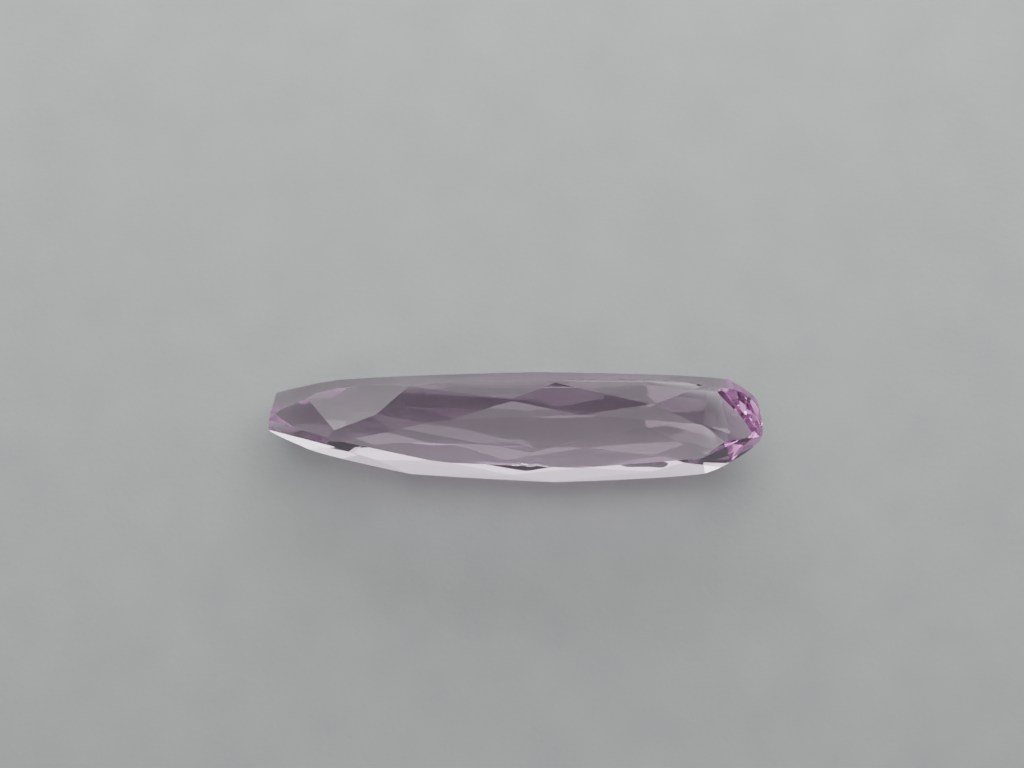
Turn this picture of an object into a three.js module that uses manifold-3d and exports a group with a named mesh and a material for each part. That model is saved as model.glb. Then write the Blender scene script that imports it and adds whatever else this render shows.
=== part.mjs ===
// A long, slender pear-shaped kunzite, cut and polished, lying on one main facet of its pavilion.
// Millimetres, +Z up, the long axis along X with the round end at +X and the table facing -Y.
import * as THREE from "three";
import { mergeVertices } from "three/addons/utils/BufferGeometryUtils.js";
import Module from "manifold-3d";

// Driving dimensions of the pear outline, seen square to the table
const tipX = -14.95;
const tipHalfWidth = 0.3;
const shoulderX = -12.52;
const shoulderHalfWidth = 1.83;
const widestX = 3.98;
const widestHalfWidth = 3.55;
const headX = 14.95;
const curveSteps = 16;

// Driving heights from the girdle plane
const tableHeight = 1.34;
const girdleBottom = -1.03;
const culetX = 1.74;
const culetDepth = 4.85;

// Driving slopes of the facets, in degrees from the girdle plane
const crownMain = 35;
const crownBreak = 45;
const crownStar = 25;
const pavilionMain = 46;
const pavilionBreak = 51;

// Where the corners of the girdle lie along the stone, from the tip to the round end
const corner = { tip: -12.48, left: -6.53, middle: 2.39, right: 11.31, head: 12.71 };

const wasm = await Module();
wasm.setup();

function solid(geometry) {
  geometry.deleteAttribute("normal");
  geometry.deleteAttribute("uv");
  const merged = mergeVertices(geometry, 1e-4);
  return new wasm.Manifold(new wasm.Mesh({
    numProp: 3,
    vertProperties: new Float32Array(merged.attributes.position.array),
    triVerts: new Uint32Array(merged.index.array),
  }));
}

// One side of the pear outline: blunt tip, shoulder, widest part, round end
const side = new THREE.Path();
side.moveTo(tipX, tipHalfWidth);
side.bezierCurveTo(tipX + 0.1, 0.8, shoulderX - 0.6, shoulderHalfWidth - 0.36, shoulderX, shoulderHalfWidth);
side.bezierCurveTo(shoulderX + 1.9, shoulderHalfWidth + 1.12, widestX - 7.1, widestHalfWidth,
  widestX, widestHalfWidth);
side.bezierCurveTo(widestX + 6.16, widestHalfWidth, headX, 3.26, headX, 0);
const far = side.getPoints(curveSteps);
const near = far.slice(0, -1).map((p) => new THREE.Vector2(p.x, -p.y));
const pear = new THREE.Shape([...near, ...far.reverse()]);

// Half the width of the outline at a place along the stone
function halfWidth(x) {
  const i = near.findIndex((p) => p.x > x);
  const from = near[i - 1];
  const to = near[i];
  return -from.y - (to.y - from.y) * (x - from.x) / (to.x - from.x);
}

// The blank: a straight-sided slab that is polished flat on top as the table
const blank = new THREE.ExtrudeGeometry(pear, { depth: 8, bevelEnabled: false });
blank.translate(0, 0, tableHeight - 8);
let stone = solid(blank);

// Grinds one flat facet through a point. The azimuth says which way the facet faces around the
// stone, and the slope how far it leans from the girdle plane, above it (1) or below it (-1).
function grind(azimuth, slope, above, x, y, z) {
  const a = THREE.MathUtils.degToRad(azimuth);
  const s = THREE.MathUtils.degToRad(slope);
  const outward = new THREE.Vector3(Math.cos(a) * Math.sin(s), Math.sin(a) * Math.sin(s), above * Math.cos(s));
  const lap = new THREE.BoxGeometry(80, 80, 40);
  lap.translate(0, 0, 20);
  lap.applyQuaternion(new THREE.Quaternion().setFromUnitVectors(new THREE.Vector3(0, 0, 1), outward));
  lap.translate(x, y, z);
  stone = stone.subtract(solid(lap));
}

// Grinds the same facet on both sides of the long axis
function grindPair(azimuth, slope, above, x, y, z) {
  grind(azimuth, slope, above, x, y, z);
  grind(-azimuth, slope, above, x, -y, z);
}

// Crown: break facets, which scallop the top edge of the girdle
grindPair(108.3, crownBreak + 2, 1, corner.left, halfWidth(corner.left), -0.03);
grindPair(94.4, crownBreak, 1, corner.left, halfWidth(corner.left), 0);
grindPair(85.6, crownBreak - 2, 1, corner.right, halfWidth(corner.right), 0);
grindPair(50, crownBreak + 2, 1, corner.head, halfWidth(corner.head), -0.36);

// Crown: main facets, from the corners of the girdle to the table
grindPair(118, crownBreak - 1, 1, corner.tip, halfWidth(corner.tip), -0.76);
grindPair(97.8, crownMain, 1, corner.left, halfWidth(corner.left), 0);
grindPair(88.2, crownMain - 1, 1, corner.middle, halfWidth(corner.middle), 0.24);
grindPair(79.2, crownMain, 1, corner.right, halfWidth(corner.right), 0);
grindPair(55.6, crownMain + 3, 1, corner.head, halfWidth(corner.head), -0.3);
grind(0, crownMain + 7.5, 1, headX, 0, 0);
grind(180, crownMain - 9, 1, tipX, 0, -0.59);

// Crown: star facets along the edge of the table
grindPair(104, crownStar, 1, -4.59, 1.47, tableHeight);
grindPair(92.7, crownStar - 1, 1, -4.59, 1.47, tableHeight);
grindPair(84.7, crownStar + 1, 1, 3.91, 1.87, tableHeight);
grindPair(50, crownStar, 1, 11.19, 1.19, tableHeight);

// Pavilion: main facets, which meet in the keel. The middle pair meets at its deepest point.
grindPair(90, pavilionMain, -1, culetX, 0, -culetDepth);
grindPair(97, pavilionMain + 3, -1, -10.66, halfWidth(-10.66), -1.85);
grindPair(84, pavilionMain, -1, 11.19, halfWidth(11.19), -1.28);
grindPair(49.4, pavilionMain - 0.5, -1, corner.head, halfWidth(corner.head), -1.63);
grind(0, pavilionMain - 1, -1, headX, 0, girdleBottom);
grind(180, 83, -1, tipX, 0, -0.55);

// Pavilion: two long break facets on each side, which meet in the middle of the girdle
grindPair(91.5, pavilionBreak, -1, 1.15, halfWidth(1.15), girdleBottom + 0.1);
grindPair(88.3, pavilionBreak - 0.3, -1, 1.15, halfWidth(1.15), girdleBottom + 0.1);

// Lay the stone on its near middle pavilion facet, centred over the origin
const cut = stone.getMesh();
const cutGeometry = new THREE.BufferGeometry();
cutGeometry.setAttribute("position", new THREE.BufferAttribute(new Float32Array(cut.vertProperties), 3));
cutGeometry.setIndex(new THREE.BufferAttribute(new Uint32Array(cut.triVerts), 1));
const kunziteGeometry = cutGeometry.toNonIndexed();
kunziteGeometry.rotateX(THREE.MathUtils.degToRad(pavilionMain));
kunziteGeometry.computeBoundingBox();
const box = kunziteGeometry.boundingBox;
kunziteGeometry.translate(-(box.min.x + box.max.x) / 2, -(box.min.y + box.max.y) / 2, -box.min.z);
kunziteGeometry.computeVertexNormals();

const kunzite = new THREE.Mesh(kunziteGeometry, new THREE.MeshStandardMaterial({
  color: 0xd9b8dd,
  roughness: 0.05,
  metalness: 0,
}));
kunzite.name = "kunzite";

const part = new THREE.Group();
part.name = "pear_cut_kunzite";
part.add(kunzite);

export default part;
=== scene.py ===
import math
import random

import bmesh
import bpy
from mathutils import Matrix, Vector


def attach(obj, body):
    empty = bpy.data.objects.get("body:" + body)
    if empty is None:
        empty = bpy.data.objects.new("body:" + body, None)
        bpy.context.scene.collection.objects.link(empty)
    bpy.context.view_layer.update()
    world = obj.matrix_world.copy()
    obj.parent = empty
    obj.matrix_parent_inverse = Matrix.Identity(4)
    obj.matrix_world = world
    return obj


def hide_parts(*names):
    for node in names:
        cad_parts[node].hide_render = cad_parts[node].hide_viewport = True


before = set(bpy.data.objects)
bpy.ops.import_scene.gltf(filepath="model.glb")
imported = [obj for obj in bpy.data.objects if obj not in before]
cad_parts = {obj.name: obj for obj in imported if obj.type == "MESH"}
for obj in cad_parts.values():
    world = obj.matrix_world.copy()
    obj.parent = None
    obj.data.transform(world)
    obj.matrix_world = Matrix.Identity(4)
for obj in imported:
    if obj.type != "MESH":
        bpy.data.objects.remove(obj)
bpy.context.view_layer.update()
scene = bpy.context.scene

# ---------------------------------------------------------------------------
# The stone: one piece of clear spodumene, coloured lilac-pink by manganese.
# It was sawn to a long pear, ground to a straight girdle that is left matt,
# and its crown, table and pavilion were cut and polished as flat facets.
# ---------------------------------------------------------------------------
mm = 0.001
polish_rounding = 0.015 * mm        # how far the polish wears back an edge between two facets
weld_distance = 0.0001 * mm         # corners nearer than this are one corner
same_facet = math.radians(0.3)      # triangles that turn less than this are one facet
facet_edge = math.radians(2.0)      # an edge that turns more than this lies between two facets
table_rise = 0.3                    # the table's normal points upwards by more than this
table_sway = 0.01                   # and along the stone by less than this
girdle_tilt = 0.02                  # a wall leans less than this from the girdle's own upright
table_height = 1.34 * mm            # from the girdle plane up to the table

stone_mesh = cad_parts["kunzite"].data.copy()
stone_mesh.materials.clear()
stone = bpy.data.objects.new("kunzite_stone", stone_mesh)
scene.collection.objects.link(stone)

cut = bmesh.new()
cut.from_mesh(stone_mesh)
bmesh.ops.remove_doubles(cut, verts=cut.verts, dist=weld_distance)
bmesh.ops.dissolve_limit(cut, angle_limit=same_facet, verts=cut.verts, edges=cut.edges)

# The table is the largest facet that faces up and doesn't lean along the stone
table = max((f for f in cut.faces if f.normal.z > table_rise and abs(f.normal.x) < table_sway),
            key=lambda f: f.calc_area())
table_normal = table.normal.copy()
table_middle = table.calc_center_median()
facet_edges = [e for e in cut.edges if len(e.link_faces) == 2 and e.calc_face_angle() > facet_edge]
bmesh.ops.bevel(cut, geom=facet_edges, offset=polish_rounding, segments=1, affect="EDGES",
                profile=0.5, clamp_overlap=True)

# Each face keeps how far it is ground matt, and how much dark grit is caught in it
ground = cut.faces.layers.float.new("ground")
grit = cut.faces.layers.float.new("grit")
for face in cut.faces:
    is_wall = abs(face.normal.dot(table_normal)) < girdle_tilt
    face[ground] = 1.0 if is_wall else 0.0
    face[grit] = 0.0
    face.smooth = False
cut.to_mesh(stone_mesh)
cut.free()

# Small nicks where the brittle stone has chipped: one on the far edge of the girdle, which
# holds some dark grit, one on the crown, and a row along the near edge of the table. Their
# places are in mm along, across and up from the girdle's middle, as it leans at rest.
nick_matt = 0.8                     # a nick's broken face is almost as matt as the girdle
nick_twist = 0.25                   # each nick is turned by up to this, in radians
nick_unevenness = (0.8, 1.1)        # each corner of a nick lies between these shares of its size
lean = Matrix.Rotation(math.atan2(-table_normal.y, table_normal.z), 4, "X")
girdle_centre = Vector((0.0, table_middle.y, table_middle.z)) - table_normal * table_height
chips = random.Random(7)
nicks = bmesh.new()
nick_ground = nicks.faces.layers.float.new("ground")
nick_grit = nicks.faces.layers.float.new("grit")
for x, y, z, half_length, half_width, dirtiness in (
        (11.03, 3.15, 0.02, 0.22, 0.10, 1.0),
        (-5.20, 1.87, 1.16, 0.12, 0.04, 0.0),
        (0.00, -1.66, 1.33, 0.30, 0.05, 0.0),
        (0.52, -1.59, 1.33, 0.40, 0.05, 0.0),
        (0.93, -1.70, 1.33, 0.34, 0.07, 0.0),
        (1.36, -1.63, 1.33, 0.28, 0.05, 0.0),
        (1.85, -1.75, 1.33, 0.24, 0.04, 0.0)):
    place = Matrix.Translation(girdle_centre) @ lean @ Matrix.Translation(Vector((x, y, z)) * mm)
    twist = Matrix.Rotation(chips.uniform(-nick_twist, nick_twist), 4, "Z")
    size = Matrix.Diagonal((half_length * mm, half_width * mm, half_width * mm, 1.0))
    lump = bmesh.ops.create_icosphere(nicks, subdivisions=2, radius=1.0)
    for v in lump["verts"]:
        v.co *= chips.uniform(*nick_unevenness)
        v.co = place @ twist @ size @ v.co
    for face in {f for v in lump["verts"] for f in v.link_faces}:
        face[nick_ground] = nick_matt
        face[nick_grit] = dirtiness
nick_mesh = bpy.data.meshes.new("nicks")
nicks.to_mesh(nick_mesh)
nicks.free()
nick_cutter = bpy.data.objects.new("nicks", nick_mesh)
scene.collection.objects.link(nick_cutter)
chipping = stone.modifiers.new("chipping", "BOOLEAN")
chipping.operation = "DIFFERENCE"
chipping.object = nick_cutter
chipping.solver = "EXACT"
chipping.use_self = True
chipped_stone = stone.evaluated_get(bpy.context.evaluated_depsgraph_get())
stone_mesh = bpy.data.meshes.new_from_object(chipped_stone)
stone.modifiers.clear()
stone.data = stone_mesh
bpy.data.objects.remove(nick_cutter)
stone_mesh.materials.clear()

kunzite = bpy.data.materials.new("polished_kunzite")
kunzite.use_nodes = True
tree = kunzite.node_tree
surface = tree.nodes["Principled BSDF"]
surface.inputs["Transmission Weight"].default_value = 1.0
surface.inputs["IOR"].default_value = 1.67


def mottle(tree, position, scale, detail):
    """Cloudy variation that is fixed to the object. Scale is about how many clouds a metre holds."""
    clouds = tree.nodes.new("ShaderNodeTexNoise")
    clouds.inputs["Scale"].default_value = scale
    clouds.inputs["Detail"].default_value = detail
    tree.links.new(position.outputs["Object"], clouds.inputs["Vector"])
    return clouds.outputs["Fac"]


def roughness_between(tree, clouds, smoothest, roughest, clouds_from=0.0, clouds_to=1.0):
    """Roughness that goes from smoothest to roughest as the clouds go between their two values."""
    span = tree.nodes.new("ShaderNodeMapRange")
    span.inputs["From Min"].default_value = clouds_from
    span.inputs["From Max"].default_value = clouds_to
    span.inputs["To Min"].default_value = smoothest
    span.inputs["To Max"].default_value = roughest
    tree.links.new(clouds, span.inputs["Value"])
    return span.outputs["Result"]


def relief(tree, clouds, strength, depth):
    """Fine relief, as if the surface rose by the depth, in metres, where the clouds are 1."""
    bump = tree.nodes.new("ShaderNodeBump")
    bump.inputs["Strength"].default_value = strength
    bump.inputs["Distance"].default_value = depth
    tree.links.new(clouds, bump.inputs["Height"])
    return bump


# The girdle is ground and not polished. The facets carry faint wiping marks, and the slight
# swell that a lap leaves.
position = tree.nodes.new("ShaderNodeTexCoord")
ground_share = tree.nodes.new("ShaderNodeAttribute")
ground_share.attribute_name = "ground"
grains = mottle(tree, position, scale=9000.0, detail=3.0)
wiping = mottle(tree, position, scale=500.0, detail=4.0)
swelling = mottle(tree, position, scale=240.0, detail=1.0)

polished = roughness_between(tree, wiping, 0.0, 0.012, clouds_from=0.45, clouds_to=0.75)
ground_matt = roughness_between(tree, grains, 0.26, 0.46)
finish = tree.nodes.new("ShaderNodeMix")
tree.links.new(ground_share.outputs["Fac"], finish.inputs["Factor"])
tree.links.new(polished, finish.inputs["A"])
tree.links.new(ground_matt, finish.inputs["B"])
tree.links.new(finish.outputs["Result"], surface.inputs["Roughness"])

girdle_grains = tree.nodes.new("ShaderNodeMath")
girdle_grains.operation = "MULTIPLY"
tree.links.new(grains, girdle_grains.inputs[0])
tree.links.new(ground_share.outputs["Fac"], girdle_grains.inputs[1])
girdle_tooth = relief(tree, girdle_grains.outputs[0], strength=0.35, depth=0.02 * mm)
lap_swell = relief(tree, swelling, strength=0.8, depth=0.03 * mm)
tree.links.new(girdle_tooth.outputs["Normal"], lap_swell.inputs["Normal"])
tree.links.new(lap_swell.outputs["Normal"], surface.inputs["Normal"])

# Dark grit is caught in one of the nicks. Elsewhere the surface has no colour of its own.
clean = (1.0, 1.0, 1.0, 1.0)
dark_grit = (0.02, 0.015, 0.015, 1.0)
colour_a, colour_b, colour_result = 6, 7, 2     # where a mix node keeps its colour sockets
grit_share = tree.nodes.new("ShaderNodeAttribute")
grit_share.attribute_name = "grit"
dirt = tree.nodes.new("ShaderNodeMix")
dirt.data_type = "RGBA"
dirt.inputs[colour_a].default_value = clean
dirt.inputs[colour_b].default_value = dark_grit
tree.links.new(grit_share.outputs["Fac"], dirt.inputs["Factor"])
tree.links.new(dirt.outputs[colour_result], surface.inputs["Base Color"])

# The colour lies in the crystal itself, so it deepens with the way the light goes through it
body_colour = tree.nodes.new("ShaderNodeVolumeAbsorption")
body_colour.inputs["Color"].default_value = (0.79, 0.18, 0.72, 1.0)
body_colour.inputs["Density"].default_value = 40.0
tree.links.new(body_colour.outputs["Volume"], tree.nodes["Material Output"].inputs["Volume"])
stone_mesh.materials.append(kunzite)
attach(stone, "root")
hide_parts("kunzite")

# ---------------------------------------------------------------------------
# The sheet of pale grey paper that the stone lies on. It isn't part of it.
# Matt uncoated paper: a fine fibrous tooth and a hardly visible cloudiness.
# ---------------------------------------------------------------------------
paper_width = 1.2
paper_gap = 0.01 * mm               # keeps the paper from touching the rest facet
paper_dark = (0.455, 0.474, 0.470, 1.0)
paper_light = (0.495, 0.512, 0.505, 1.0)

bpy.ops.mesh.primitive_plane_add(size=paper_width, location=(0.0, 0.0, -paper_gap))
paper = bpy.context.object
paper.name = "paper"
pale_paper = bpy.data.materials.new("pale_grey_paper")
pale_paper.use_nodes = True
tree = pale_paper.node_tree
surface = tree.nodes["Principled BSDF"]
surface.inputs["Roughness"].default_value = 0.95
surface.inputs["Specular IOR Level"].default_value = 0.1
position = tree.nodes.new("ShaderNodeTexCoord")
cloudiness = mottle(tree, position, scale=260.0, detail=6.0)
fibres = mottle(tree, position, scale=2600.0, detail=5.0)

shade = tree.nodes.new("ShaderNodeValToRGB")
shade.color_ramp.elements[0].position = 0.3
shade.color_ramp.elements[0].color = paper_dark
shade.color_ramp.elements[1].position = 0.7
shade.color_ramp.elements[1].color = paper_light
tree.links.new(cloudiness, shade.inputs["Fac"])
tree.links.new(shade.outputs["Color"], surface.inputs["Base Color"])
paper_tooth = relief(tree, fibres, strength=0.25, depth=0.06 * mm)
tree.links.new(paper_tooth.outputs["Normal"], surface.inputs["Normal"])
paper.data.materials.append(pale_paper)

# ---------------------------------------------------------------------------
# Light: three soft boxes behind the stone stand for a wide window, and four
# small ones hang above it and in front. Cards at its left, right and front
# give its facets something pale to mirror, in a dim even room.
# ---------------------------------------------------------------------------
cool_daylight = (0.98, 1.0, 1.0)
white = (1.0, 1.0, 1.0)
faint_pink = (1.0, 0.98, 1.0)

room = bpy.data.worlds.new("room")
scene.world = room
room.use_nodes = True
room.node_tree.nodes["Background"].inputs["Color"].default_value = (0.95, 0.99, 1.0, 1.0)
room.node_tree.nodes["Background"].inputs["Strength"].default_value = 0.13


def soft_light(name, azimuth, elevation, distance, size, power, colour):
    """A rectangular soft light that faces the stone. Azimuth 0 is behind it and 90 on its right.

    Angles are in degrees, the distance and the size in metres, and the power in watts.
    """
    lamp = bpy.data.lights.new(name, "AREA")
    lamp.shape = "RECTANGLE"
    lamp.size, lamp.size_y = size
    lamp.energy = power
    lamp.color = colour
    holder = bpy.data.objects.new(name, lamp)
    scene.collection.objects.link(holder)
    a, e = math.radians(azimuth), math.radians(elevation)
    towards_light = Vector((math.sin(a) * math.cos(e), math.cos(a) * math.cos(e), math.sin(e)))
    holder.location = towards_light * distance
    holder.rotation_euler = (-holder.location).to_track_quat("-Z", "Y").to_euler()


soft_light("window_low", 0, 16, 0.14, (0.24, 0.07), 0.32, cool_daylight)
soft_light("window_high", 0, 42, 0.13, (0.22, 0.12), 0.115, cool_daylight)
soft_light("window_right", 50, 45, 0.18, (0.12, 0.12), 0.055, cool_daylight)
soft_light("left_box", 306, 62, 0.30, (0.12, 0.12), 0.12, white)
soft_light("top_box", 0, 80, 0.30, (0.12, 0.12), 0.09, white)
soft_light("front_left_box", 210, 45, 0.30, (0.10, 0.10), 0.09, faint_pink)
soft_light("front_high_box", 180, 62, 0.30, (0.10, 0.10), 0.055, faint_pink)
soft_light("left_card", 280, 12, 0.30, (0.20, 0.12), 0.10, white)
soft_light("right_card", 80, 35, 0.30, (0.20, 0.20), 0.12, white)
soft_light("front_card", 180, 12, 0.30, (0.20, 0.12), 0.11, faint_pink)

scene.view_settings.view_transform = "AgX"
scene.view_settings.look = "AgX - Medium High Contrast"
scene.view_settings.exposure = -0.52
scene.cycles.max_bounces = 24
scene.cycles.transmission_bounces = 24
scene.cycles.glossy_bounces = 12

# ---------------------------------------------------------------------------
# The camera looks steeply down at the stone, square to its length. It stands
# well back with a long lens, so the stone is drawn with little perspective.
# ---------------------------------------------------------------------------
picture_width = 1024                # pixels
pixel = 0.0607 * mm                 # how much of the stone one pixel covers
camera_elevation = math.radians(74)
camera_distance = 0.24
sensor_width = 36.0
aim_height = 2.4 * mm               # over the paper, where the aim is worked out from
aim_left, aim_up = 3.6, 43.5        # pixels that the camera aims left of that point and above it

lens = bpy.data.cameras.new("camera")
lens.sensor_width = sensor_width
lens.lens = sensor_width * camera_distance / (picture_width * pixel)
lens.clip_start, lens.clip_end = 0.001, 10.0
camera = bpy.data.objects.new("camera", lens)
scene.collection.objects.link(camera)
back = Vector((0.0, -math.cos(camera_elevation), math.sin(camera_elevation)))
up = Vector((0.0, math.sin(camera_elevation), math.cos(camera_elevation)))
aim = Vector((-aim_left * pixel, 0.0, aim_height)) + up * aim_up * pixel
camera.location = aim + back * camera_distance
camera.rotation_euler = (-back).to_track_quat("-Z", "Y").to_euler()
scene.camera = camera
